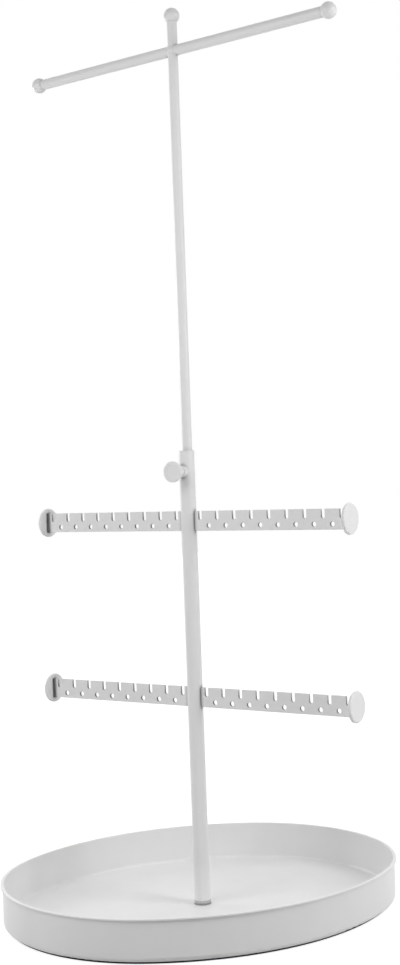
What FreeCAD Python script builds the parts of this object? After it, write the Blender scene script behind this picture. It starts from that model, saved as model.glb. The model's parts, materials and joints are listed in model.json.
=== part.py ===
import FreeCAD, Part
import Sketcher
import os

# Jewellery stand. An oval tray with a lipped rim carries a tube post. Two levels of slotted
# half bars are tabbed into the post's wall and end in round stops. A thinner rod with a ball-ended
# top bar telescopes into the post and is held by a thumbscrew.
# Millimetres. Origin on the post's axis at the ground, +X along the bars, -Y towards the thumbscrew.

doc = FreeCAD.newDocument("jewellery_stand")
sizes = doc.addObject("Spreadsheet::Sheet", "sizes")

SIZES = [
    ("tray_length", 246, "over the lip"),
    ("tray_width", 205, "over the lip"),
    ("tray_end_radius", 93.5, "outline at the ends of the long axis, over the lip"),
    ("tray_turn", 64, "degrees from the bars to the tray's long axis"),
    ("tray_depth", 24, "underside to the top of the rim"),
    ("sheet_thickness", 1, "tray sheet"),
    ("corner_radius", 2.8, "outside bend between wall and floor"),
    ("lip_stand", 1.1, "how far the lip stands out from the wall"),
    ("lip_thickness", 1, "lip round the rim"),
    ("lip_rounding", 0.35, "upper edges of the lip"),
    ("tray_hole", 5.5, "screw hole in the floor"),
    ("pad_thickness", 1.2, "non-slip sheet under the tray"),
    ("pad_inset", 3.2, "from the wall to the edge of the pad"),
    ("pad_hole", 16, "opening for the screw head"),
    ("post_diameter", 9.5, "outside of the tube"),
    ("post_wall", 0.6, "tube wall"),
    ("post_length", 272, "tube, flange to mouth"),
    ("flange_rim", 0.25, "how far the foot ring stands out from the tube"),
    ("flange_thickness", 2, "foot ring"),
    ("spigot_length", 10, "foot plug inside the tube"),
    ("screw_diameter", 5, "base screw"),
    ("screw_head", 10, "low head"),
    ("screw_recess", 0.2, "ground to the screw head, inside the pad's opening"),
    ("screw_length", 10.5, "under the head"),
    ("key_size", 3, "hexagon socket across flats"),
    ("key_depth", 0.8, "hexagon socket"),
    ("upper_bar_drop", 42.5, "tube's mouth down to the bar's centre line"),
    ("bar_spacing", 106.3, "upper to lower bar"),
    ("bar_height", 12, "strip"),
    ("bar_thickness", 1.6, "strip"),
    ("tab_height", 8, "tab in the post's wall"),
    ("slot_start", 8.7, "post axis to the first slot"),
    ("slot_pitch", 12.1, "slot to slot, and hole to hole"),
    ("slot_count", 9, "slots in a half bar, with a hole between each two"),
    ("bar_end", 5, "last slot to the end of the strip"),
    ("slot_width", 2.5, "necklace slot"),
    ("slot_depth", 5.5, "necklace slot"),
    ("hole_diameter", 3, "hole for an earring hook"),
    ("hole_rise", 3.2, "hole centre above the strip's lower edge"),
    ("disc_diameter", 18.2, "end stop"),
    ("disc_thickness", 2, "end stop"),
    ("disc_rounding", 1.1, "outer edge of the end stop"),
    ("disc_edge", 0.3, "bevel of the end stop's inner edge"),
    ("pocket_depth", 0.9, "blind pocket that takes the strip"),
    ("pocket_front", 1.8, "pocket left open in front of the strip"),
    ("clamp_drop", 12.5, "tube's mouth down to the thumbscrew's axis"),
    ("boss_diameter", 6.4, "threaded boss on the post"),
    ("boss_stand", 2.45, "how far the boss stands out from the tube"),
    ("stud_diameter", 4, "thumbscrew thread"),
    ("knob_diameter", 12.5, "thumbscrew knob"),
    ("knob_gap", 0.3, "boss to the knob's neck at rest"),
    ("knob_cone", 6.6, "neck to the full diameter"),
    ("knob_band", 2, "straight edge of the knob"),
    ("knob_edge", 0.3, "bevel of the knob's edges"),
    ("dish_inset", 1.9, "knob's edge to the dished face"),
    ("dish_depth", 0.25, "dished face"),
    ("knob_web", 0.9, "metal between the stud's end and the dished face"),
    ("tip_diameter", 3.2, "nylon tip of the thumbscrew"),
    ("tip_thickness", 0.9, "nylon tip"),
    ("tip_pin_diameter", 1.6, "pin on which the stud turns"),
    ("tip_pin_length", 2, "pin on which the stud turns"),
    ("rod_diameter", 6, "height rod"),
    ("rod_wall", 1, "height rod"),
    ("rod_length", 291.1, "lower end to the seat in the top ball"),
    ("rod_insertion", 29.8, "length inside the post"),
    ("rod_gap", 0.15, "rod to the back of the post's bore"),
    ("crossbar_rise", 271, "rod's lower end to the top bar's axis"),
    ("arm_diameter", 6.4, "top bar"),
    ("arm_turn", -4.6, "degrees that the top bar is turned from the bars"),
    ("arm_reach", 113.1, "rod axis to the centre of an end ball"),
    ("arm_start", 1.2, "rod axis to where the arm's coped end begins"),
    ("ball_diameter", 9.6, "ball ends"),
    ("ball_seat", 1, "ball centre to the floor of its seat"),
    ("plug_head", 3, "plastic plug below the rod"),
    ("plug_spigot", 8, "plastic plug inside the rod"),
    ("plug_bevel", 0.4, "lead-in of plugs and screw ends"),
    ("fit_clearance", 0.05, "between fixed pieces, all round"),
    ("run_clearance", 0.05, "between turning or sliding pieces, all round"),
    ("thread_clearance", 0.1, "between a screw and its hole, all round"),
]


def fill_sheet():
    """Writes every driving dimension with its alias."""
    for row, (alias, number, note) in enumerate(SIZES, start=1):
        sizes.set(f"A{row}", alias)
        sizes.set(f"B{row}", str(number))
        sizes.set(f"C{row}", note)
        sizes.setAlias(f"B{row}", alias)
    doc.recompute()


def value(formula):
    """Number that a formula gives with the present sizes."""
    return float(sizes.evalExpression(formula))


# Levels and radii that several pieces share, as formulas on the sheet.
FLOOR = "(sizes.pad_thickness + sizes.sheet_thickness)"
RIM = "(sizes.pad_thickness + sizes.tray_depth)"
LIP_BASE = f"({RIM} - sizes.lip_thickness)"
TRAY_FLANK_RADIUS = (
    "((sizes.tray_length ^ 2 / 4 - sizes.tray_length * sizes.tray_end_radius + sizes.tray_width ^ 2 / 4)"
    " / (sizes.tray_width - 2 * sizes.tray_end_radius))"
)
TRAY_END_CENTRE = "(sizes.tray_length / 2 - sizes.tray_end_radius)"
TRAY_FLANK_CENTRE = f"({TRAY_FLANK_RADIUS} - sizes.tray_width / 2)"
POST_BASE = f"({FLOOR} + sizes.flange_thickness)"
POST_TOP = f"({POST_BASE} + sizes.post_length)"
POST_RADIUS = "(sizes.post_diameter / 2)"
BORE_RADIUS = "(sizes.post_diameter / 2 - sizes.post_wall)"
ROD_RADIUS = "(sizes.rod_diameter / 2)"
ROD_BACK = f"({BORE_RADIUS} - {ROD_RADIUS} - sizes.rod_gap)"
ROD_BASE = f"({POST_TOP} - sizes.rod_insertion)"
ARM_LEVEL = f"({ROD_BASE} + sizes.crossbar_rise)"
UPPER_BAR = f"({POST_TOP} - sizes.upper_bar_drop)"
LOWER_BAR = f"({UPPER_BAR} - sizes.bar_spacing)"
BAR_REACH = "(sizes.slot_start + (sizes.slot_count - 1) * sizes.slot_pitch + sizes.bar_end)"
DISC_FACE = f"({BAR_REACH} - sizes.pocket_depth)"
CLAMP_LEVEL = f"({POST_TOP} - sizes.clamp_drop)"
TIP_FACE = f"({ROD_RADIUS} - {ROD_BACK} + sizes.run_clearance)"
STUD_END = f"({TIP_FACE} + sizes.tip_thickness + sizes.run_clearance)"
BOSS_FACE = f"({POST_RADIUS} + sizes.boss_stand)"
KNOB_NECK = f"({BOSS_FACE} + sizes.knob_gap)"
KNOB_FACE = f"({KNOB_NECK} + sizes.knob_cone + sizes.knob_band)"
STUD_TOP = f"({KNOB_FACE} - sizes.dish_depth - sizes.knob_web)"


def new_body(label, base=("0", "0", "0"), axis=(0, 0, 1), turn="0"):
    """Body for one piece, with its place bound to the sheet."""
    body = doc.addObject("PartDesign::Body", label)
    body.Label = label
    rotation = FreeCAD.Rotation(FreeCAD.Vector(*axis), value(turn))
    body.Placement = FreeCAD.Placement(FreeCAD.Vector(), rotation)
    for letter, formula in zip("xyz", base):
        body.setExpression(f"Placement.Base.{letter}", formula)
    body.setExpression("Placement.Rotation.Angle", turn)
    return body


def new_sketch(body, plane_role, name, offset="0"):
    """Sketch on one of the body's origin planes, moved along the plane's normal."""
    sketch = body.newObject("Sketcher::SketchObject", name)
    plane = [item for item in body.Origin.OriginFeatures if item.Role == plane_role][0]
    sketch.AttachmentSupport = [(plane, "")]
    sketch.MapMode = "FlatFace"
    sketch.setExpression("AttachmentOffset.Base.z", offset)
    return sketch


def dimension(sketch, kind, places, formula):
    """Adds one dimension to a sketch and binds it to a formula."""
    index = sketch.addConstraint(Sketcher.Constraint(kind, *places, value(formula)))
    name = f"size_{index}"
    sketch.renameConstraint(index, name)
    sketch.setExpression(f"Constraints.{name}", formula)


def locate(sketch, geometry, point, across, along):
    """Holds a point of a sketch at a place measured from the sketch's origin."""
    dimension(sketch, "DistanceX", (-1, 1, geometry, point), across)
    dimension(sketch, "DistanceY", (-1, 1, geometry, point), along)


def circle(sketch, radius, across="0", along="0"):
    """Circle by its radius and centre."""
    centre = FreeCAD.Vector(value(across), value(along), 0)
    round_line = Part.Circle(centre, FreeCAD.Vector(0, 0, 1), value(radius))
    index = sketch.addGeometry(round_line, False)
    dimension(sketch, "Radius", (index,), radius)
    locate(sketch, index, 3, across, along)


def oval(sketch, inset):
    """Tray's oval of four tangent arcs, moved in from the lip's outline by the inset."""
    end_radius = f"(sizes.tray_end_radius - {inset})"
    flank_radius = f"({TRAY_FLANK_RADIUS} - {inset})"
    spread = f"({TRAY_FLANK_RADIUS} - sizes.tray_end_radius)"
    across = f"({TRAY_END_CENTRE} * (1 + {end_radius} / {spread}))"
    along = f"({TRAY_FLANK_CENTRE} * {end_radius} / {spread})"
    length = f"({TRAY_END_CENTRE} + {end_radius})"
    width = f"({flank_radius} - {TRAY_FLANK_CENTRE})"
    joints = [(across, f"-{along}"), (across, along), (f"-{across}", along), (f"-{across}", f"-{along}")]
    tops = [(length, "0"), ("0", width), (f"-{length}", "0"), ("0", f"-{width}")]
    radii = [end_radius, flank_radius, end_radius, flank_radius]
    points = [FreeCAD.Vector(value(x), value(y), 0) for x, y in joints]
    middles = [FreeCAD.Vector(value(x), value(y), 0) for x, y in tops]
    first = sketch.GeometryCount
    for number in range(4):
        arc = Part.Arc(points[number], middles[number], points[(number + 1) % 4])
        sketch.addGeometry(arc, False)
    for number in range(4):
        following = first + (number + 1) % 4
        sketch.addConstraint(Sketcher.Constraint("Coincident", first + number, 2, following, 1))
    for number in range(4):
        locate(sketch, first + number, 1, *joints[number])
        dimension(sketch, "Radius", (first + number,), radii[number])


def outline(sketch, corners):
    """Closed outline of straight lines through corners given as pairs of formulas."""
    points = [FreeCAD.Vector(value(across), value(along), 0) for across, along in corners]
    first = sketch.GeometryCount
    count = len(points)
    for number in range(count):
        line = Part.LineSegment(points[number], points[(number + 1) % count])
        sketch.addGeometry(line, False)
    for number in range(count):
        following = first + (number + 1) % count
        sketch.addConstraint(Sketcher.Constraint("Coincident", first + number, 2, following, 1))
    for number, (across, along) in enumerate(corners):
        locate(sketch, first + number, 1, across, along)


def rectangle(sketch, left, right, low, high):
    """Rectangle between four formulas."""
    outline(sketch, [(left, low), (right, low), (right, high), (left, high)])


def extrude(body, kind, sketch, length=None, reverse=False, both_ways=False):
    """Pad or pocket; without a length a pocket goes through everything."""
    feature = body.newObject(f"PartDesign::{kind}", sketch.Name + "_" + kind.lower())
    feature.Profile = sketch
    feature.Reversed = reverse
    if both_ways:
        feature.SideType = "Symmetric"
    if length is None:
        feature.Type = "ThroughAll"
    else:
        feature.setExpression("Length", length)
    return feature


def revolve(body, sketch, axis="V_Axis"):
    """Full turn of a profile about one of its sketch's axes."""
    feature = body.newObject("PartDesign::Revolution", sketch.Name + "_turned")
    feature.Profile = sketch
    feature.ReferenceAxis = (sketch, [axis])
    feature.Angle = 360
    return feature


def edges_at(feature, level):
    """Names of a feature's flat edges that lie at one height."""
    doc.recompute()
    height = value(level)
    names = []
    for number, edge in enumerate(feature.Shape.Edges, start=1):
        box = edge.BoundBox
        if abs(box.ZMin - height) < 0.01 and abs(box.ZMax - height) < 0.01:
            names.append(f"Edge{number}")
    return names


def fillet(body, feature, radius, level):
    """Rounds a feature's flat edges that lie at one height."""
    names = edges_at(feature, level)
    rounding = body.newObject("PartDesign::Fillet", feature.Name + "_rounding")
    rounding.Base = (feature, names)
    rounding.setExpression("Radius", radius)
    return rounding


def repeat(body, feature, sketch, pitch, count):
    """Row of copies of a feature along the sketch's first axis."""
    pattern = body.newObject("PartDesign::LinearPattern", feature.Name + "_row")
    pattern.Originals = [feature]
    pattern.Direction = (sketch, ["H_Axis"])
    pattern.Mode = "Spacing"
    pattern.setExpression("Offset", pitch)
    pattern.setExpression("Occurrences", count)
    body.Tip = pattern
    return pattern


def make_tray():
    """Oval pan of drawn sheet with a thin lip turned out round its rim and a screw hole."""
    body = new_body("tray", turn="sizes.tray_turn")
    shell = new_sketch(body, "XY_Plane", "tray_shell", "sizes.pad_thickness")
    oval(shell, "sizes.lip_stand")
    pan = extrude(body, "Pad", shell, "sizes.tray_depth")
    fillet(body, pan, "sizes.corner_radius", "sizes.pad_thickness")

    brim = new_sketch(body, "XY_Plane", "tray_brim", LIP_BASE)
    oval(brim, "0")
    extrude(body, "Pad", brim, "sizes.lip_thickness")

    inside = new_sketch(body, "XY_Plane", "tray_inside", RIM)
    oval(inside, "(sizes.lip_stand + sizes.sheet_thickness)")
    hollow = extrude(body, "Pocket", inside, f"{RIM} - {FLOOR}")
    bend = fillet(body, hollow, "sizes.corner_radius - sizes.sheet_thickness", FLOOR)
    fillet(body, bend, "sizes.lip_rounding", RIM)

    hole = new_sketch(body, "XY_Plane", "tray_screw_hole", FLOOR)
    circle(hole, "sizes.tray_hole / 2")
    extrude(body, "Pocket", hole)
    return body


def make_base_pad():
    """Thin dark sheet that the stand rests on, open round the screw head."""
    body = new_body("base_pad", turn="sizes.tray_turn")
    sheet = new_sketch(body, "XY_Plane", "pad_sheet")
    oval(sheet, "(sizes.lip_stand + sizes.pad_inset)")
    circle(sheet, "sizes.pad_hole / 2")
    extrude(body, "Pad", sheet, "sizes.pad_thickness")
    return body


def make_base_screw():
    """Low-headed screw that comes up through the tray into the foot plug."""
    low = "sizes.screw_recess"
    end = "(sizes.pad_thickness + sizes.screw_length)"
    body = new_body("base_screw")
    profile = new_sketch(body, "XZ_Plane", "base_screw_profile")
    outline(profile, [
        ("0", low),
        ("sizes.screw_head / 2 - sizes.plug_bevel", low),
        ("sizes.screw_head / 2", f"{low} + sizes.plug_bevel"),
        ("sizes.screw_head / 2", "sizes.pad_thickness"),
        ("sizes.screw_diameter / 2", "sizes.pad_thickness"),
        ("sizes.screw_diameter / 2", f"{end} - sizes.plug_bevel"),
        ("sizes.screw_diameter / 2 - sizes.plug_bevel", end),
        ("0", end),
    ])
    revolve(body, profile)
    key = new_sketch(body, "XY_Plane", "base_screw_key", low)
    corners = []
    for number in range(6):
        corner = 60 * number
        corners.append((f"sizes.key_size / sqrt(3) * cos({corner})", f"sizes.key_size / sqrt(3) * sin({corner})"))
    outline(key, corners)
    extrude(body, "Pocket", key, "sizes.key_depth", reverse=True)
    return body


def make_foot_plug():
    """Flanged plug in the foot of the tube, threaded for the base screw."""
    bore = "(sizes.screw_diameter / 2 + sizes.thread_clearance)"
    ring = f"({POST_RADIUS} + sizes.flange_rim)"
    spigot = f"({BORE_RADIUS} - sizes.fit_clearance)"
    end = f"({POST_BASE} + sizes.spigot_length)"
    body = new_body("foot_plug")
    profile = new_sketch(body, "XZ_Plane", "foot_plug_profile")
    outline(profile, [
        (bore, FLOOR),
        (ring, FLOOR),
        (ring, POST_BASE),
        (spigot, POST_BASE),
        (spigot, f"{end} - sizes.plug_bevel"),
        (f"{spigot} - sizes.plug_bevel", end),
        (bore, end),
    ])
    revolve(body, profile)
    return body


def make_post_tube():
    """Tube with wall slots for the bars' tabs and a hole for the thumbscrew."""
    body = new_body("post_tube")
    ring = new_sketch(body, "XY_Plane", "post_ring", POST_BASE)
    circle(ring, POST_RADIUS)
    circle(ring, BORE_RADIUS)
    extrude(body, "Pad", ring, "sizes.post_length")

    slots = new_sketch(body, "YZ_Plane", "tab_slots")
    half_wide = "(sizes.bar_thickness / 2 + sizes.thread_clearance)"
    half_high = "(sizes.tab_height / 2 + sizes.thread_clearance)"
    for level in (LOWER_BAR, UPPER_BAR):
        rectangle(slots, f"-{half_wide}", half_wide, f"{level} - {half_high}", f"{level} + {half_high}")
    extrude(body, "Pocket", slots, both_ways=True)

    hole = new_sketch(body, "XZ_Plane", "post_screw_hole")
    circle(hole, "sizes.stud_diameter / 2 + sizes.thread_clearance", "0", CLAMP_LEVEL)
    extrude(body, "Pocket", hole, "sizes.post_diameter", reverse=True)
    return body


def make_half_bar(label, level, turn):
    """Strip tabbed into the post, slotted along its top edge and drilled along its lower edge."""
    body = new_body(label, ("0", "0", level), turn=turn)
    edge = "(sizes.bar_height / 2)"
    tab = "(sizes.tab_height / 2)"
    tab_end = f"({BORE_RADIUS} + sizes.fit_clearance)"
    strip = new_sketch(body, "XZ_Plane", label + "_strip")
    outline(strip, [
        (tab_end, f"-{tab}"),
        (POST_RADIUS, f"-{tab}"),
        (POST_RADIUS, f"-{edge}"),
        (BAR_REACH, f"-{edge}"),
        (BAR_REACH, edge),
        (POST_RADIUS, edge),
        (POST_RADIUS, tab),
        (tab_end, tab),
    ])
    extrude(body, "Pad", strip, "sizes.bar_thickness", both_ways=True)

    slot = new_sketch(body, "XZ_Plane", label + "_slot")
    left = "(sizes.slot_start - sizes.slot_width / 2)"
    right = "(sizes.slot_start + sizes.slot_width / 2)"
    mouth = f"({edge} + sizes.slot_width)"
    bend = f"({edge} - sizes.slot_depth + sizes.slot_width / 2)"
    corners = [(left, mouth), (left, bend), (right, bend), (right, mouth)]
    points = [FreeCAD.Vector(value(across), value(along), 0) for across, along in corners]
    bottom = FreeCAD.Vector(value("sizes.slot_start"), value(f"{edge} - sizes.slot_depth"), 0)
    slot.addGeometry(Part.LineSegment(points[0], points[1]), False)
    slot.addGeometry(Part.Arc(points[1], bottom, points[2]), False)
    slot.addGeometry(Part.LineSegment(points[2], points[3]), False)
    slot.addGeometry(Part.LineSegment(points[3], points[0]), False)
    slot.addConstraint(Sketcher.Constraint("Coincident", 0, 2, 1, 1))
    slot.addConstraint(Sketcher.Constraint("Coincident", 1, 2, 2, 1))
    slot.addConstraint(Sketcher.Constraint("Coincident", 2, 2, 3, 1))
    slot.addConstraint(Sketcher.Constraint("Coincident", 3, 2, 0, 1))
    locate(slot, 0, 1, left, mouth)
    locate(slot, 0, 2, left, bend)
    locate(slot, 2, 1, right, bend)
    locate(slot, 2, 2, right, mouth)
    dimension(slot, "DistanceY", (-1, 1, 1, 3), bend)
    notch = extrude(body, "Pocket", slot, both_ways=True)
    repeat(body, notch, slot, "sizes.slot_pitch", "sizes.slot_count")

    hole = new_sketch(body, "XZ_Plane", label + "_hole")
    circle(hole, "sizes.hole_diameter / 2", "sizes.slot_start + sizes.slot_pitch / 2",
           f"sizes.hole_rise - {edge}")
    drilling = extrude(body, "Pocket", hole, both_ways=True)
    repeat(body, drilling, hole, "sizes.slot_pitch", "sizes.slot_count - 1")
    return body


def make_disc(label, level, side):
    """Round end stop with a blind pocket for the strip's end; side is 1 for right, -1 for left."""
    body = new_body(label, (f"{side} * {DISC_FACE}", "0", level), (0, 1, 0), f"{90 * side}")
    face = new_sketch(body, "XY_Plane", label + "_face")
    circle(face, "sizes.disc_diameter / 2")
    blank = extrude(body, "Pad", face, "sizes.disc_thickness")
    rounded = fillet(body, blank, "sizes.disc_rounding", "sizes.disc_thickness")
    inner = edges_at(rounded, "0")
    bevel = body.newObject("PartDesign::Chamfer", label + "_bevel")
    bevel.Base = (rounded, inner)
    bevel.setExpression("Size", "sizes.disc_edge")
    pocket = new_sketch(body, "XY_Plane", label + "_pocket")
    half_high = "(sizes.bar_height / 2 + sizes.thread_clearance)"
    back = "(sizes.bar_thickness / 2 + sizes.thread_clearance)"
    front = "(-sizes.bar_thickness / 2 - sizes.pocket_front)"
    rectangle(pocket, f"-{half_high}", half_high, front, back)
    extrude(body, "Pocket", pocket, "sizes.pocket_depth", reverse=True)
    return body


def clamp_body(label):
    """Body whose own +Z axis runs out of the front of the post along the thumbscrew."""
    return new_body(label, ("0", "0", CLAMP_LEVEL), (1, 0, 0), "90")


def make_clamp_boss():
    """Threaded boss, its end saddled on the post."""
    body = clamp_body("clamp_boss")
    barrel = new_sketch(body, "XY_Plane", "boss_barrel")
    circle(barrel, "sizes.boss_diameter / 2")
    circle(barrel, "sizes.stud_diameter / 2 + sizes.run_clearance")
    extrude(body, "Pad", barrel, BOSS_FACE)
    saddle = new_sketch(body, "XZ_Plane", "boss_saddle")
    circle(saddle, POST_RADIUS)
    extrude(body, "Pocket", saddle, both_ways=True)
    return body


def make_clamp_knob():
    """Turned knob: neck, cone, straight band and a slightly dished face."""
    body = clamp_body("clamp_knob")
    bore = "(sizes.stud_diameter / 2 + sizes.fit_clearance)"
    outer = "(sizes.knob_diameter / 2)"
    dish = f"({outer} - sizes.dish_inset)"
    band = f"({KNOB_NECK} + sizes.knob_cone)"
    profile = new_sketch(body, "XZ_Plane", "knob_profile")
    outline(profile, [
        (bore, KNOB_NECK),
        ("sizes.boss_diameter / 2", KNOB_NECK),
        (f"{outer} - sizes.knob_edge", f"{band} - sizes.knob_edge"),
        (outer, f"{band} + sizes.knob_edge"),
        (outer, f"{KNOB_FACE} - sizes.knob_edge"),
        (f"{outer} - sizes.knob_edge", KNOB_FACE),
        (dish, KNOB_FACE),
        (f"{dish} - sizes.dish_depth", f"{KNOB_FACE} - sizes.dish_depth"),
        ("0", f"{KNOB_FACE} - sizes.dish_depth"),
        ("0", STUD_TOP),
        (bore, STUD_TOP),
    ])
    revolve(body, profile)
    return body


def make_clamp_stud():
    """Threaded stud fixed in the knob, bored at its end for the tip's pin."""
    body = clamp_body("clamp_stud")
    profile = new_sketch(body, "XZ_Plane", "stud_profile")
    radius = "(sizes.stud_diameter / 2)"
    bore = "(sizes.tip_pin_diameter / 2 + sizes.run_clearance)"
    bore_end = f"({STUD_END} + sizes.tip_pin_length)"
    outline(profile, [
        (bore, STUD_END),
        (f"{radius} - sizes.plug_bevel", STUD_END),
        (radius, f"{STUD_END} + sizes.plug_bevel"),
        (radius, STUD_TOP),
        ("0", STUD_TOP),
        ("0", bore_end),
        (bore, bore_end),
    ])
    revolve(body, profile)
    return body


def make_clamp_pad():
    """Nylon tip between the stud and the rod, on a pin in the stud's end."""
    body = clamp_body("clamp_pad")
    back = f"({TIP_FACE} + sizes.tip_thickness)"
    pin_end = f"({back} + sizes.tip_pin_length)"
    profile = new_sketch(body, "XZ_Plane", "tip_profile")
    outline(profile, [
        ("0", TIP_FACE),
        ("sizes.tip_diameter / 2", TIP_FACE),
        ("sizes.tip_diameter / 2", back),
        ("sizes.tip_pin_diameter / 2", back),
        ("sizes.tip_pin_diameter / 2", pin_end),
        ("0", pin_end),
    ])
    revolve(body, profile)
    return body


def make_height_rod():
    """Thin tube that telescopes into the post and runs up to the top ball."""
    body = new_body("height_rod", ("0", ROD_BACK, ROD_BASE))
    ring = new_sketch(body, "XY_Plane", "rod_ring")
    circle(ring, ROD_RADIUS)
    circle(ring, f"{ROD_RADIUS} - sizes.rod_wall")
    extrude(body, "Pad", ring, "sizes.rod_length")
    return body


def make_rod_end_plug():
    """Plastic plug on which the rod turns, guided by the post's bore."""
    body = new_body("rod_end_plug", ("0", ROD_BACK, ROD_BASE))
    spigot = f"({ROD_RADIUS} - sizes.rod_wall - sizes.run_clearance)"
    profile = new_sketch(body, "XZ_Plane", "plug_profile")
    outline(profile, [
        ("0", "-sizes.plug_head"),
        (f"{ROD_RADIUS} - sizes.plug_bevel", "-sizes.plug_head"),
        (ROD_RADIUS, "sizes.plug_bevel - sizes.plug_head"),
        (ROD_RADIUS, "-sizes.run_clearance"),
        (spigot, "-sizes.run_clearance"),
        (spigot, "sizes.plug_spigot - sizes.plug_bevel"),
        (f"{spigot} - sizes.plug_bevel", "sizes.plug_spigot"),
        ("0", "sizes.plug_spigot"),
    ])
    revolve(body, profile)
    return body


def make_arm(label, turn):
    """One half of the top bar, coped to the rod's side and seated in its end ball."""
    body = new_body(label, ("0", ROD_BACK, ARM_LEVEL), turn=turn)
    bar = new_sketch(body, "YZ_Plane", label + "_bar", "sizes.arm_start")
    circle(bar, "sizes.arm_diameter / 2")
    extrude(body, "Pad", bar, "sizes.arm_reach - sizes.ball_seat - sizes.arm_start")
    cope = new_sketch(body, "XY_Plane", label + "_cope")
    circle(cope, ROD_RADIUS)
    extrude(body, "Pocket", cope, both_ways=True)
    return body


def make_ball(label, base, turn, plane_role, stem_radius):
    """Ball with a blind seat for the end of the stem that enters along the plane's normal."""
    body = new_body(label, base, turn=turn)
    sphere = body.newObject("PartDesign::AdditiveSphere", label + "_sphere")
    sphere.setExpression("Radius", "sizes.ball_diameter / 2")
    seat = new_sketch(body, plane_role, label + "_seat", "-sizes.ball_seat")
    circle(seat, f"{stem_radius} + sizes.fit_clearance")
    extrude(body, "Pocket", seat, "sizes.ball_diameter")
    return body


def make_pieces():
    """All pieces, from the ground up."""
    right_turn = "sizes.arm_turn"
    left_turn = "(180 + sizes.arm_turn)"
    pieces = [make_base_pad(), make_tray(), make_base_screw(), make_foot_plug(), make_post_tube()]
    for height, level in (("lower", LOWER_BAR), ("upper", UPPER_BAR)):
        for name, turn, side in (("left", "180", -1), ("right", "0", 1)):
            pieces.append(make_half_bar(f"{height}_{name}_bar", level, turn))
            pieces.append(make_disc(f"{height}_{name}_disc", level, side))
    pieces += [make_clamp_boss(), make_clamp_knob(), make_clamp_stud(), make_clamp_pad()]
    pieces += [make_height_rod(), make_rod_end_plug()]
    for name, turn in (("left", left_turn), ("right", right_turn)):
        pieces.append(make_arm(f"{name}_arm", turn))
        end = (
            f"sizes.arm_reach * cos({turn})",
            f"{ROD_BACK} + sizes.arm_reach * sin({turn})",
            ARM_LEVEL,
        )
        pieces.append(make_ball(f"{name}_ball", end, turn, "YZ_Plane", "sizes.arm_diameter / 2"))
    top = ("0", ROD_BACK, f"{ROD_BASE} + sizes.rod_length + sizes.ball_seat")
    pieces.append(make_ball("top_ball", top, "0", "XY_Plane", ROD_RADIUS))
    return pieces


def check(pieces):
    """Stops if any object failed or any piece isn't one sound solid."""
    for item in doc.Objects:
        if "Invalid" in item.State or "Error" in item.State:
            raise RuntimeError(f"{item.Label} failed: {item.State}")
    for piece in pieces:
        shape = piece.Shape
        if shape.isNull() or not shape.isValid() or len(shape.Solids) != 1:
            raise RuntimeError(f"{piece.Label} isn't one valid solid")


fill_sheet()
all_pieces = make_pieces()
doc.recompute()
check(all_pieces)
os.makedirs("parts", exist_ok=True)
for piece in all_pieces:
    piece.Shape.exportStep(f"parts/{piece.Label}.step")
    print(f"{piece.Label:20s} {piece.Shape.Volume:12.2f} mm3")
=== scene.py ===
import json
import math

import bmesh
import bpy
from mathutils import Matrix, Vector


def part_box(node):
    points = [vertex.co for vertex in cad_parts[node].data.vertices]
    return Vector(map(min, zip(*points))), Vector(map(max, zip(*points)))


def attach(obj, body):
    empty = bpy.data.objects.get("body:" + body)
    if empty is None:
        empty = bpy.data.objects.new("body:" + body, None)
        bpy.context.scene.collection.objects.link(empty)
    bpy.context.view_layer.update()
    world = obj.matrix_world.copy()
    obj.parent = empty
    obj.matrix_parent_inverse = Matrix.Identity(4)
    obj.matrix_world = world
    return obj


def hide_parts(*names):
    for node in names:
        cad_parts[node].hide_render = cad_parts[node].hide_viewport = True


# Finishes, weld seams, screw thread, light and camera of a powder-coated jewellery stand.
# Metres. The post stands on the Z axis, the slotted bars run along X, the thumbscrew points to -Y.

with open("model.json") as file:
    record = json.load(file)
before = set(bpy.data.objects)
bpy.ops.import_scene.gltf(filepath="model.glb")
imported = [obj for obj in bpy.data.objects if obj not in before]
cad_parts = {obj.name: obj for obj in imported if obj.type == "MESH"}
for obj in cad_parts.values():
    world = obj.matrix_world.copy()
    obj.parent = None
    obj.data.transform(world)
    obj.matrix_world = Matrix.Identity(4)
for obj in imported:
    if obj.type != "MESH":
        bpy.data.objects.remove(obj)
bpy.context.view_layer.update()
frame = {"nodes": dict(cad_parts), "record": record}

MM = 0.001
QUARTER_TURN = math.radians(90)
FULL_TURN = 2 * math.pi
SHARP_ANGLE = math.radians(40)
FLAT_ANGLE = math.radians(0.5)
MERGE_DISTANCE = 0.001 * MM

# Sizes of the pieces that the welds and the thread follow.
POST_RADIUS = 4.75 * MM
ROD_RADIUS = 3.0 * MM
ARM_RADIUS = 3.2 * MM
ARM_TURN = math.radians(-4.6)
BOSS_RADIUS = 3.2 * MM
STUD_RADIUS = 2.0 * MM
PITCH = 0.7 * MM

# Edges, welds and thread.
DISC_EDGE = 0.2 * MM
BAR_EDGE = 0.08 * MM
BAR_ROLL = 0.45 * MM
FOOT_BAND = 0.01 * MM
CROSSING_SWELL = (4.4 * MM, 3.75 * MM, 3.9 * MM)
CROSSING_SEAM = 0.55 * MM
BOSS_SEAM = 0.6 * MM
SEAM_TOE = 0.03 * MM
SEAM_STEPS = 48
SADDLE_REACH = 0.98
THREAD_DEPTH = 0.3 * MM
THREAD_SUNK = 0.05 * MM
THREAD_STEPS = 32

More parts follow.
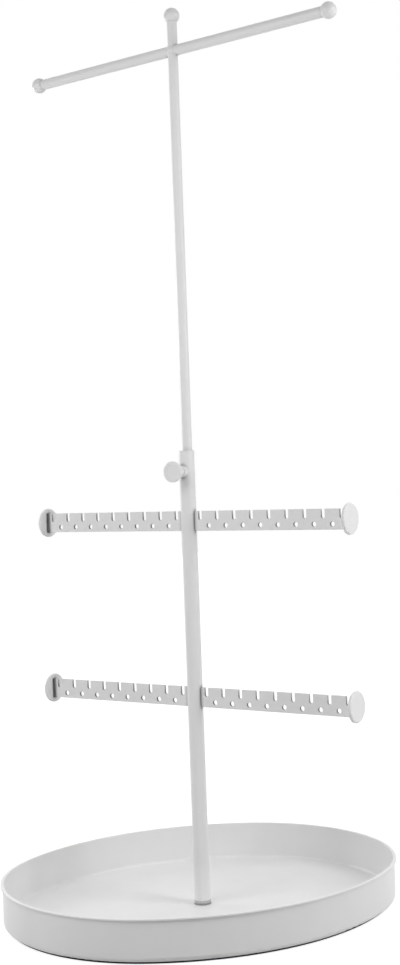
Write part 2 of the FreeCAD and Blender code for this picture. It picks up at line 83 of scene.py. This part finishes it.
# Powder coat: its tones, gloss, dust nibs and orange peel, and how light the painted shade in its crevices
# leaves them.
COAT_DARK = (0.83, 0.832, 0.83)
COAT_LIGHT = (0.865, 0.865, 0.86)
COAT_GLOSS = 0.5
NIB_TONE = 0.12
NIB_HEIGHT = 0.003 * MM
PEEL_HEIGHT = 0.005 * MM
CREVICE = 0.36
TRAY_CREVICE = 0.5
CREVICE_SAMPLES = 16
COAT_OF = {
    "tray": "tray_coat",
    "clamp_knob": "tray_coat",
    "clamp_boss": "tray_coat",
    "height_rod": "rod_coat",
}

# Other finishes: darkest and lightest tone, and the height of their relief.
FOAM_TONES = (0.035, 0.035, 0.036), (0.075, 0.075, 0.074)
FOAM_PITS = 0.18 * MM
ZINC_TONES = (0.58, 0.585, 0.59), (0.70, 0.70, 0.69)
ZINC_MARKS = 0.006 * MM
NYLON_TONES = (0.70, 0.70, 0.66), (0.76, 0.76, 0.73)
NYLON_FLOW = 0.01 * MM
NYLON_DEPTH = 1.0 * MM

# Floor: its tone, and how bright it looks close to the stand, from where it fades to full white and to where.
FLOOR_RADIUS = 4.0
FLOOR_TONE = 0.6
FLOOR_GLOW = 0.72
FADE_START = 0.2
FADE_END = 1.2

# Camera: place, turns in radians, and focal length and picture height in pixels.
CAMERA_PLACE = (0.52739, -0.7574, 0.2639)
CAMERA_HEADING = 0.6001
CAMERA_DIP = 0.0078
CAMERA_ROLL = -0.0362
FOCAL_PIXELS = 1528.11
PICTURE_PIXELS = 965
SENSOR_WIDTH = 36

# Surround that lights the stand: azimuth and height in degrees, tightness, strength.
SURROUND = [
    (80, 48, 5, 0.87),
    (0, 90, 6, 0.71),
]
# Lamps: name, azimuth, distance, height, height aimed at, width and height of the face, fan, watts.
LAMPS = [
    ("softbox_right", 7, 0.6, 0.5, 0.2, 0.3, 0.5, 180, 1.6),
    ("softbox_left", -112, 0.6, 0.5, 0.2, 0.3, 0.5, 180, 1.02),
    ("low_softbox_right", 7, 0.6, 0.25, 0.2, 0.3, 0.4, 180, 0.62),
    ("low_softbox_left", -112, 0.6, 0.25, 0.2, 0.3, 0.4, 180, 0.38),
    ("softbox_front", -85, 0.5, 0.5, 0.05, 0.3, 0.3, 180, 0.6),
    ("softbox_back_left", 175, 0.7, 0.4, 0, 0.4, 0.3, 180, 1.3),
]


# Finishes

def node_adder(tree):
    """Function that adds a node to a tree and sets its properties, or else its inputs, by name."""
    def add(kind, **values):
        node = tree.nodes.new(kind)
        for key, number in values.items():
            if hasattr(node, key):
                setattr(node, key, number)
            else:
                node.inputs[key].default_value = number
        return node

    return add


def new_material(name):
    """Node material with a Principled shader: material, node adder, linker and shader."""
    material = bpy.data.materials.new(name)
    material.use_nodes = True
    tree = material.node_tree
    return material, node_adder(tree), tree.links.new, tree.nodes["Principled BSDF"]


def noise(add, link, place, scale, detail=3.0, roughness=0.5):
    """Noise of a scale per metre on the piece's own coordinates."""
    node = add("ShaderNodeTexNoise", Scale=scale, Detail=detail, Roughness=roughness)
    link(place.outputs["Object"], node.inputs["Vector"])
    return node.outputs["Fac"]


def spread(add, link, source, low, high, bottom=0.3, top=0.7, way="LINEAR"):
    """Source between bottom and top mapped to a range of numbers from low to high."""
    node = add("ShaderNodeMapRange", interpolation_type=way)
    for key, number in (("From Min", bottom), ("From Max", top), ("To Min", low), ("To Max", high)):
        node.inputs[key].default_value = number
    link(source, node.inputs["Value"])
    return node.outputs["Result"]


def tint(add, link, source, dark, light):
    """Colour between a dark and a light tone, chosen by the source."""
    node = add("ShaderNodeMix", data_type="RGBA")
    node.inputs[6].default_value = (*dark, 1)
    node.inputs[7].default_value = (*light, 1)
    link(source, node.inputs[0])
    return node.outputs[2]


def bump(add, link, shader, layers):
    """Chain of bumps from (source, height) pairs into a shader."""
    normal = None
    for source, height in layers:
        node = add("ShaderNodeBump", Strength=1.0, Distance=height)
        link(source, node.inputs["Height"])
        if normal is not None:
            link(normal, node.inputs["Normal"])
        normal = node.outputs["Normal"]
    link(normal, shader.inputs["Normal"])


def powder_coat(name, reach, deep, shut, clear, alone=False):
    """Off-white powder coat: orange peel, slow thickness waves, rare dust nibs, and painted shade that greys
    its crevices.

    Reach is the widest gap that counts as a crevice, and deep is how light the painted shade leaves the
    bottom of one.
    Shut and clear are the shares of open view at which the painted shade is darkest and gone.
    Alone leaves the pieces around it out of that.
    """
    material, add, link, shader = new_material(name)
    place = add("ShaderNodeTexCoord")
    drift = noise(add, link, place, scale=45, detail=2.0)
    peel = noise(add, link, place, scale=620, detail=2.0, roughness=0.45)
    nibs = add("ShaderNodeTexVoronoi", Scale=260.0)
    link(place.outputs["Object"], nibs.inputs["Vector"])
    nib = spread(add, link, nibs.outputs["Distance"], low=1.0, high=0.0, bottom=0.03, top=0.09)
    tone = add("ShaderNodeMath", operation="MULTIPLY_ADD")
    link(nib, tone.inputs[0])
    tone.inputs[1].default_value = -NIB_TONE
    link(spread(add, link, drift, 0.35, 1.0), tone.inputs[2])
    coat = tint(add, link, tone.outputs[0], COAT_DARK, COAT_LIGHT)
    # Painted shade: the base colour is darkened where ambient occlusion finds surfaces close by, so crevices,
    # slots and joints read grey.
    hollow = add("ShaderNodeAmbientOcclusion", samples=CREVICE_SAMPLES, only_local=alone, Distance=reach)
    painted_crevice_shade = spread(add, link, hollow.outputs["AO"], deep, 1.0, shut, clear)
    shade = add("ShaderNodeMix", data_type="RGBA", blend_type="MULTIPLY")
    shade.inputs[0].default_value = 1.0
    link(coat, shade.inputs[6])
    link(painted_crevice_shade, shade.inputs[7])
    link(shade.outputs[2], shader.inputs["Base Color"])
    link(spread(add, link, peel, 0.3, 0.4), shader.inputs["Roughness"])
    shader.inputs["IOR"].default_value = 1.5
    shader.inputs["Specular IOR Level"].default_value = COAT_GLOSS
    bump(add, link, shader, [(peel, PEEL_HEIGHT), (nib, NIB_HEIGHT)])
    return material


def foam_sheet():
    """Dark closed-cell foam: small pits and a dusty surface."""
    material, add, link, shader = new_material("non_slip_foam")
    place = add("ShaderNodeTexCoord")
    cells = add("ShaderNodeTexVoronoi", Scale=1700.0)
    link(place.outputs["Object"], cells.inputs["Vector"])
    dust = noise(add, link, place, scale=90, detail=4.0)
    link(tint(add, link, spread(add, link, dust, 0.0, 1.0), *FOAM_TONES), shader.inputs["Base Color"])
    link(spread(add, link, dust, 0.82, 0.95), shader.inputs["Roughness"])
    shader.inputs["Specular IOR Level"].default_value = 0.25
    bump(add, link, shader, [(cells.outputs["Distance"], FOAM_PITS)])
    return material


def zinc_plate():
    """Bright zinc plate: fine spangle and turning marks."""
    material, add, link, shader = new_material("zinc_plated_steel")
    place = add("ShaderNodeTexCoord")
    spangle = noise(add, link, place, scale=900, detail=2.0)
    marks = noise(add, link, place, scale=6000, detail=1.0)
    link(tint(add, link, spread(add, link, spangle, 0.0, 1.0), *ZINC_TONES), shader.inputs["Base Color"])
    shader.inputs["Metallic"].default_value = 1.0
    link(spread(add, link, spangle, 0.24, 0.38), shader.inputs["Roughness"])
    bump(add, link, shader, [(marks, ZINC_MARKS)])
    return material


def natural_nylon():
    """Natural nylon: milky, slightly translucent, with faint flow marks."""
    material, add, link, shader = new_material("natural_nylon")
    place = add("ShaderNodeTexCoord")
    flow = noise(add, link, place, scale=350)
    link(tint(add, link, spread(add, link, flow, 0.0, 1.0), *NYLON_TONES), shader.inputs["Base Color"])
    link(spread(add, link, flow, 0.42, 0.52), shader.inputs["Roughness"])
    shader.inputs["Subsurface Weight"].default_value = 0.15
    shader.inputs["Subsurface Scale"].default_value = NYLON_DEPTH
    bump(add, link, shader, [(flow, NYLON_FLOW)])
    return material


# Pieces

def finish_piece(bm, name, body, slot, *replaced):
    """Mesh object from a bmesh, riding on its body with its finish; smooth, with its edges kept."""
    bmesh.ops.recalc_face_normals(bm, faces=bm.faces)
    mesh = bpy.data.meshes.new(name)
    bm.to_mesh(mesh)
    bm.free()
    mesh.shade_smooth()
    mesh.set_sharp_from_angle(angle=SHARP_ANGLE)
    mesh.materials.append(finishes[slot])
    piece = bpy.data.objects.new(name, mesh)
    bpy.context.scene.collection.objects.link(piece)
    weighted = piece.modifiers.new("even_flats", "WEIGHTED_NORMAL")
    weighted.keep_sharp = True
    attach(piece, body)
    if replaced:
        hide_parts(*replaced)
    return piece


def merged_copy(node):
    """Bmesh of a node's own shape with its loose triangles joined into plain faces."""
    bm = bmesh.new()
    bm.from_mesh(frame["nodes"][node].data)
    bmesh.ops.remove_doubles(bm, verts=bm.verts, dist=MERGE_DISTANCE)
    bmesh.ops.dissolve_limit(bm, angle_limit=FLAT_ANGLE, verts=bm.verts, edges=bm.edges)
    return bm


def round_over(bm, edges, width):
    """Rounds the given edges over by a width."""
    bmesh.ops.bevel(bm, geom=edges, offset=width, offset_type="OFFSET", segments=3, profile=0.5,
                    affect="EDGES", clamp_overlap=True, material=-1)


def outer_edges(bm):
    """Edges that stand out sharply."""
    return [edge for edge in bm.edges if edge.calc_face_angle() > SHARP_ANGLE and edge.is_convex]


def eased_disc(node):
    """End stop with every outer edge rounded over."""
    bm = merged_copy(node)
    round_over(bm, outer_edges(bm), DISC_EDGE)
    finish_piece(bm, "eased_" + node, body_of[node], slot_of[node], node)


def eased_bar(node):
    """Slotted bar with the rolled lower edge of sheared strip and every other edge just eased."""
    bm = merged_copy(node)
    low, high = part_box(node)
    foot = low.z + FOOT_BAND
    half_length = 0.5 * (high.x - low.x)
    round_over(bm, [edge for edge in outer_edges(bm) if edge.calc_length() > half_length
                    and all(vertex.co.z < foot for vertex in edge.verts)], BAR_ROLL)
    round_over(bm, [edge for edge in outer_edges(bm)
                    if all(vertex.co.z > foot + BAR_ROLL for vertex in edge.verts)], BAR_EDGE)
    finish_piece(bm, "eased_" + node, body_of[node], slot_of[node], node)


def crossing_weld():
    """Weld of the top bar and the rod: a swell where they cross and a seam above and below the bar."""
    low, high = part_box("left_arm")
    rod_low, rod_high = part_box("height_rod")
    centre = Vector((0, (rod_low.y + rod_high.y) / 2, (low.z + high.z) / 2))
    bm = bmesh.new()
    bmesh.ops.create_uvsphere(bm, u_segments=40, v_segments=24, radius=1,
                              matrix=Matrix.Diagonal((*CROSSING_SWELL, 1)))
    for side in (-1, 1):
        ring = bmesh.new()
        seam_ring(ring, ROD_RADIUS, CROSSING_SEAM)
        saddle(ring, "y", ARM_RADIUS)
        if side < 0:
            bmesh.ops.scale(ring, verts=ring.verts, vec=(1, 1, -1))
            bmesh.ops.reverse_faces(ring, faces=ring.faces)
        merge_into(bm, ring)
    bmesh.ops.rotate(bm, verts=bm.verts, cent=(0, 0, 0), matrix=Matrix.Rotation(ARM_TURN, 3, "Z"))
    bmesh.ops.translate(bm, verts=bm.verts, vec=centre)
    finish_piece(bm, "crossing_weld", "mast", "powder_coat")


def section_corners(bm, section):
    """Corners of a section given as (distance from the Z axis, height) pairs."""
    return [bm.verts.new((across, 0, rise)) for across, rise in section]


def turn_round(bm, corners, edges, steps):
    """Turns a section once round the Z axis."""
    bmesh.ops.spin(bm, geom=corners + edges, cent=(0, 0, 0), axis=(0, 0, 1), dvec=(0, 0, 0),
                   angle=FULL_TURN, steps=steps, use_merge=True)
    bmesh.ops.remove_doubles(bm, verts=bm.verts, dist=MERGE_DISTANCE)


def seam_ring(bm, radius, size):
    """Concave weld ring round the Z axis that stands on the plane Z=0 and is sunk a little into it."""
    sunk = 0.25 * size
    corners = section_corners(bm, [
        (radius - sunk, -sunk),
        (radius + size, -sunk),
        (radius + size, SEAM_TOE),
        (radius + 0.55 * size, 0.17 * size),
        (radius + 0.25 * size, 0.42 * size),
        (radius + 0.05 * size, size),
        (radius - sunk, size),
    ])
    edges = [bm.edges.new((corners[number - 1], corners[number])) for number in range(len(corners))]
    turn_round(bm, corners, edges, SEAM_STEPS)


def saddle(bm, across, radius):
    """Lays a ring that stands on a plane onto a round bar whose side-to-side axis is across."""
    for vertex in bm.verts:
        offset = min(abs(getattr(vertex.co, across)), SADDLE_REACH * radius)
        vertex.co.z += math.sqrt(radius ** 2 - offset ** 2)


def merge_into(bm, other):
    """Adds another bmesh's shape to this one."""
    mesh = bpy.data.meshes.new("part_of_piece")
    other.to_mesh(mesh)
    other.free()
    bm.from_mesh(mesh)
    bpy.data.meshes.remove(mesh)


def point_forward(bm, place):
    """Turns a shape that stands on the Z axis to point to -Y, and moves it to a place."""
    bmesh.ops.rotate(bm, verts=bm.verts, cent=(0, 0, 0), matrix=Matrix.Rotation(QUARTER_TURN, 3, "X"))
    bmesh.ops.translate(bm, verts=bm.verts, vec=place)


def boss_weld():
    """Weld seam that blends the thumbscrew's boss into the post."""
    bm = bmesh.new()
    seam_ring(bm, BOSS_RADIUS, BOSS_SEAM)
    saddle(bm, "x", POST_RADIUS)
    low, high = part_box("clamp_boss")
    point_forward(bm, (0, 0, (low.z + high.z) / 2))
    finish_piece(bm, "boss_weld", "stand", "powder_coat")


def threaded_stud():
    """Thumbscrew's stud with its thread cut, in the place of the plain stud."""
    low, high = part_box("clamp_stud")
    length = high.y - low.y
    turns = int(length / PITCH) - 1
    root = STUD_RADIUS - THREAD_DEPTH
    bm = bmesh.new()
    corners = section_corners(bm, [(root, 0), (root, length)])
    turn_round(bm, corners, [bm.edges.new(corners)], THREAD_STEPS)
    bmesh.ops.holes_fill(bm, edges=[each for each in bm.edges if each.is_boundary])
    ridge = bm.faces.new(section_corners(bm, [
        (root - THREAD_SUNK, 0.05 * MM),
        (STUD_RADIUS, 0.3 * MM),
        (STUD_RADIUS, 0.4 * MM),
        (root - THREAD_SUNK, 0.65 * MM),
    ]))
    bmesh.ops.spin(bm, geom=[ridge], cent=(0, 0, 0), axis=(0, 0, 1), dvec=(0, 0, PITCH / THREAD_STEPS),
                   angle=FULL_TURN * turns, steps=turns * THREAD_STEPS, use_merge=False)
    point_forward(bm, (0, high.y, (low.z + high.z) / 2))
    finish_piece(bm, "threaded_stud", "thumbscrew", "zinc_steel", "clamp_stud")


# Light, floor and camera

def softbox(name, azimuth, distance, height, aim_height, wide, tall, fan, power):
    """Rectangular lamp that faces the stand's axis; the camera doesn't see it."""
    data = bpy.data.lights.new(name, "AREA")
    data.shape = "RECTANGLE"
    data.size = wide
    data.size_y = tall
    data.spread = math.radians(fan)
    data.energy = power
    lamp = bpy.data.objects.new(name, data)
    bpy.context.scene.collection.objects.link(lamp)
    lamp.visible_camera = False
    angle = math.radians(azimuth)
    place = Vector((distance * math.cos(angle), distance * math.sin(angle), height))
    lamp.location = place
    lamp.rotation_euler = (Vector((0, 0, aim_height)) - place).to_track_quat("-Z", "Y").to_euler()


def shown_directly(add, link):
    """1 for rays that see the background itself: camera, mirror and glass rays."""
    path = add("ShaderNodeLightPath")
    first = add("ShaderNodeMath", operation="MAXIMUM")
    link(path.outputs["Is Camera Ray"], first.inputs[0])
    link(path.outputs["Is Glossy Ray"], first.inputs[1])
    second = add("ShaderNodeMath", operation="MAXIMUM")
    link(first.outputs[0], second.inputs[0])
    link(path.outputs["Is Transmission Ray"], second.inputs[1])
    return second.outputs[0]


def make_world():
    """White surround for the eye, and a soft surround that lights the stand, stronger in some directions."""
    world = bpy.data.worlds.new("studio")
    bpy.context.scene.world = world
    world.use_nodes = True
    world.node_tree.nodes.clear()
    add = node_adder(world.node_tree)
    link = world.node_tree.links.new
    direction = add("ShaderNodeTexCoord")
    total = None
    for azimuth, height, tightness, strength in SURROUND:
        turn, rise = math.radians(azimuth), math.radians(height)
        level = math.cos(rise)
        aim = add("ShaderNodeVectorMath", operation="DOT_PRODUCT")
        aim.inputs[1].default_value = (level * math.cos(turn), level * math.sin(turn), math.sin(rise))
        link(direction.outputs["Generated"], aim.inputs[0])
        front = add("ShaderNodeMath", operation="MAXIMUM")
        front.inputs[1].default_value = 0.0
        link(aim.outputs["Value"], front.inputs[0])
        lobe = add("ShaderNodeMath", operation="POWER")
        lobe.inputs[1].default_value = tightness
        link(front.outputs[0], lobe.inputs[0])
        scaled = add("ShaderNodeMath", operation="MULTIPLY_ADD")
        link(lobe.outputs[0], scaled.inputs[0])
        scaled.inputs[1].default_value = strength
        scaled.inputs[2].default_value = 0.0
        if total is not None:
            link(total, scaled.inputs[2])
        total = scaled.outputs[0]
    soft = add("ShaderNodeBackground")
    soft.inputs["Color"].default_value = (1, 1, 1, 1)
    link(total, soft.inputs["Strength"])
    white = add("ShaderNodeBackground")
    white.inputs["Color"].default_value = (1, 1, 1, 1)
    white.inputs["Strength"].default_value = 1.0
    mix = add("ShaderNodeMixShader")
    link(shown_directly(add, link), mix.inputs[0])
    link(soft.outputs[0], mix.inputs[1])
    link(white.outputs[0], mix.inputs[2])
    output = add("ShaderNodeOutputWorld")
    link(mix.outputs[0], output.inputs["Surface"])


def make_floor():
    """Pale floor that reads white and keeps the stand's shadow."""
    bm = bmesh.new()
    bmesh.ops.create_circle(bm, cap_ends=True, segments=64, radius=FLOOR_RADIUS)
    mesh = bpy.data.meshes.new("floor")
    bm.to_mesh(mesh)
    bm.free()
    floor = bpy.data.objects.new("floor", mesh)
    bpy.context.scene.collection.objects.link(floor)
    material = bpy.data.materials.new("floor_white")
    material.use_nodes = True
    material.node_tree.nodes.clear()
    add = node_adder(material.node_tree)
    link = material.node_tree.links.new
    matt = add("ShaderNodeBsdfDiffuse")
    matt.inputs["Color"].default_value = (FLOOR_TONE, FLOOR_TONE, FLOOR_TONE, 1)
    place = add("ShaderNodeTexCoord")
    outward = add("ShaderNodeVectorMath", operation="LENGTH")
    link(place.outputs["Object"], outward.inputs[0])
    rise = spread(add, link, outward.outputs["Value"], FLOOR_GLOW, 1.0, FADE_START, FADE_END, "SMOOTHSTEP")
    glow = add("ShaderNodeEmission")
    link(rise, glow.inputs["Strength"])
    both = add("ShaderNodeAddShader")
    link(matt.outputs[0], both.inputs[0])
    link(glow.outputs[0], both.inputs[1])
    mix = add("ShaderNodeMixShader")
    link(shown_directly(add, link), mix.inputs[0])
    link(matt.outputs[0], mix.inputs[1])
    link(both.outputs[0], mix.inputs[2])
    output = add("ShaderNodeOutputMaterial")
    link(mix.outputs[0], output.inputs["Surface"])
    mesh.materials.append(material)


def make_camera():
    """Camera at standing reach, turned to the right of the thumbscrew."""
    data = bpy.data.cameras.new("camera")
    data.sensor_width = SENSOR_WIDTH
    data.lens = SENSOR_WIDTH * FOCAL_PIXELS / PICTURE_PIXELS
    data.clip_start = 0.01
    camera = bpy.data.objects.new("camera", data)
    bpy.context.scene.collection.objects.link(camera)
    turn = Matrix.Rotation(CAMERA_HEADING, 4, "Z") @ Matrix.Rotation(math.pi / 2 - CAMERA_DIP, 4, "X")
    roll = Matrix.Rotation(CAMERA_ROLL, 4, "Z")
    camera.matrix_world = Matrix.Translation(CAMERA_PLACE) @ turn @ roll
    bpy.context.scene.camera = camera


# The stand and its studio

finishes = {
    "powder_coat": powder_coat("powder_coat_on_bars", reach=3.0 * MM, deep=CREVICE, shut=0.68, clear=0.97),
    "tray_coat": powder_coat("powder_coat_on_tray", reach=1.5 * MM, deep=TRAY_CREVICE, shut=0.5, clear=0.8),
    "rod_coat": powder_coat("powder_coat_on_rod", reach=3.0 * MM, deep=CREVICE, shut=0.62, clear=0.95,
                            alone=True),
    "non_slip_sheet": foam_sheet(),
    "zinc_steel": zinc_plate(),
    "nylon": natural_nylon(),
}
slot_of = {part["node"]: part["material_slot"] for part in frame["record"]["subparts"]}
body_of = {node: body for body, members in frame["record"]["behaviour"]["bodies"].items() for node in members}
for name, node in frame["nodes"].items():
    node.data.materials.clear()
    node.data.materials.append(finishes[COAT_OF.get(name, slot_of[name])])

for height in ("lower", "upper"):
    for side in ("left", "right"):
        eased_bar(f"{height}_{side}_bar")
        eased_disc(f"{height}_{side}_disc")
boss_weld()
crossing_weld()
threaded_stud()

for lamp in LAMPS:
    softbox(*lamp)
make_world()
make_floor()
make_camera()
bpy.context.scene.view_settings.view_transform = "Standard"
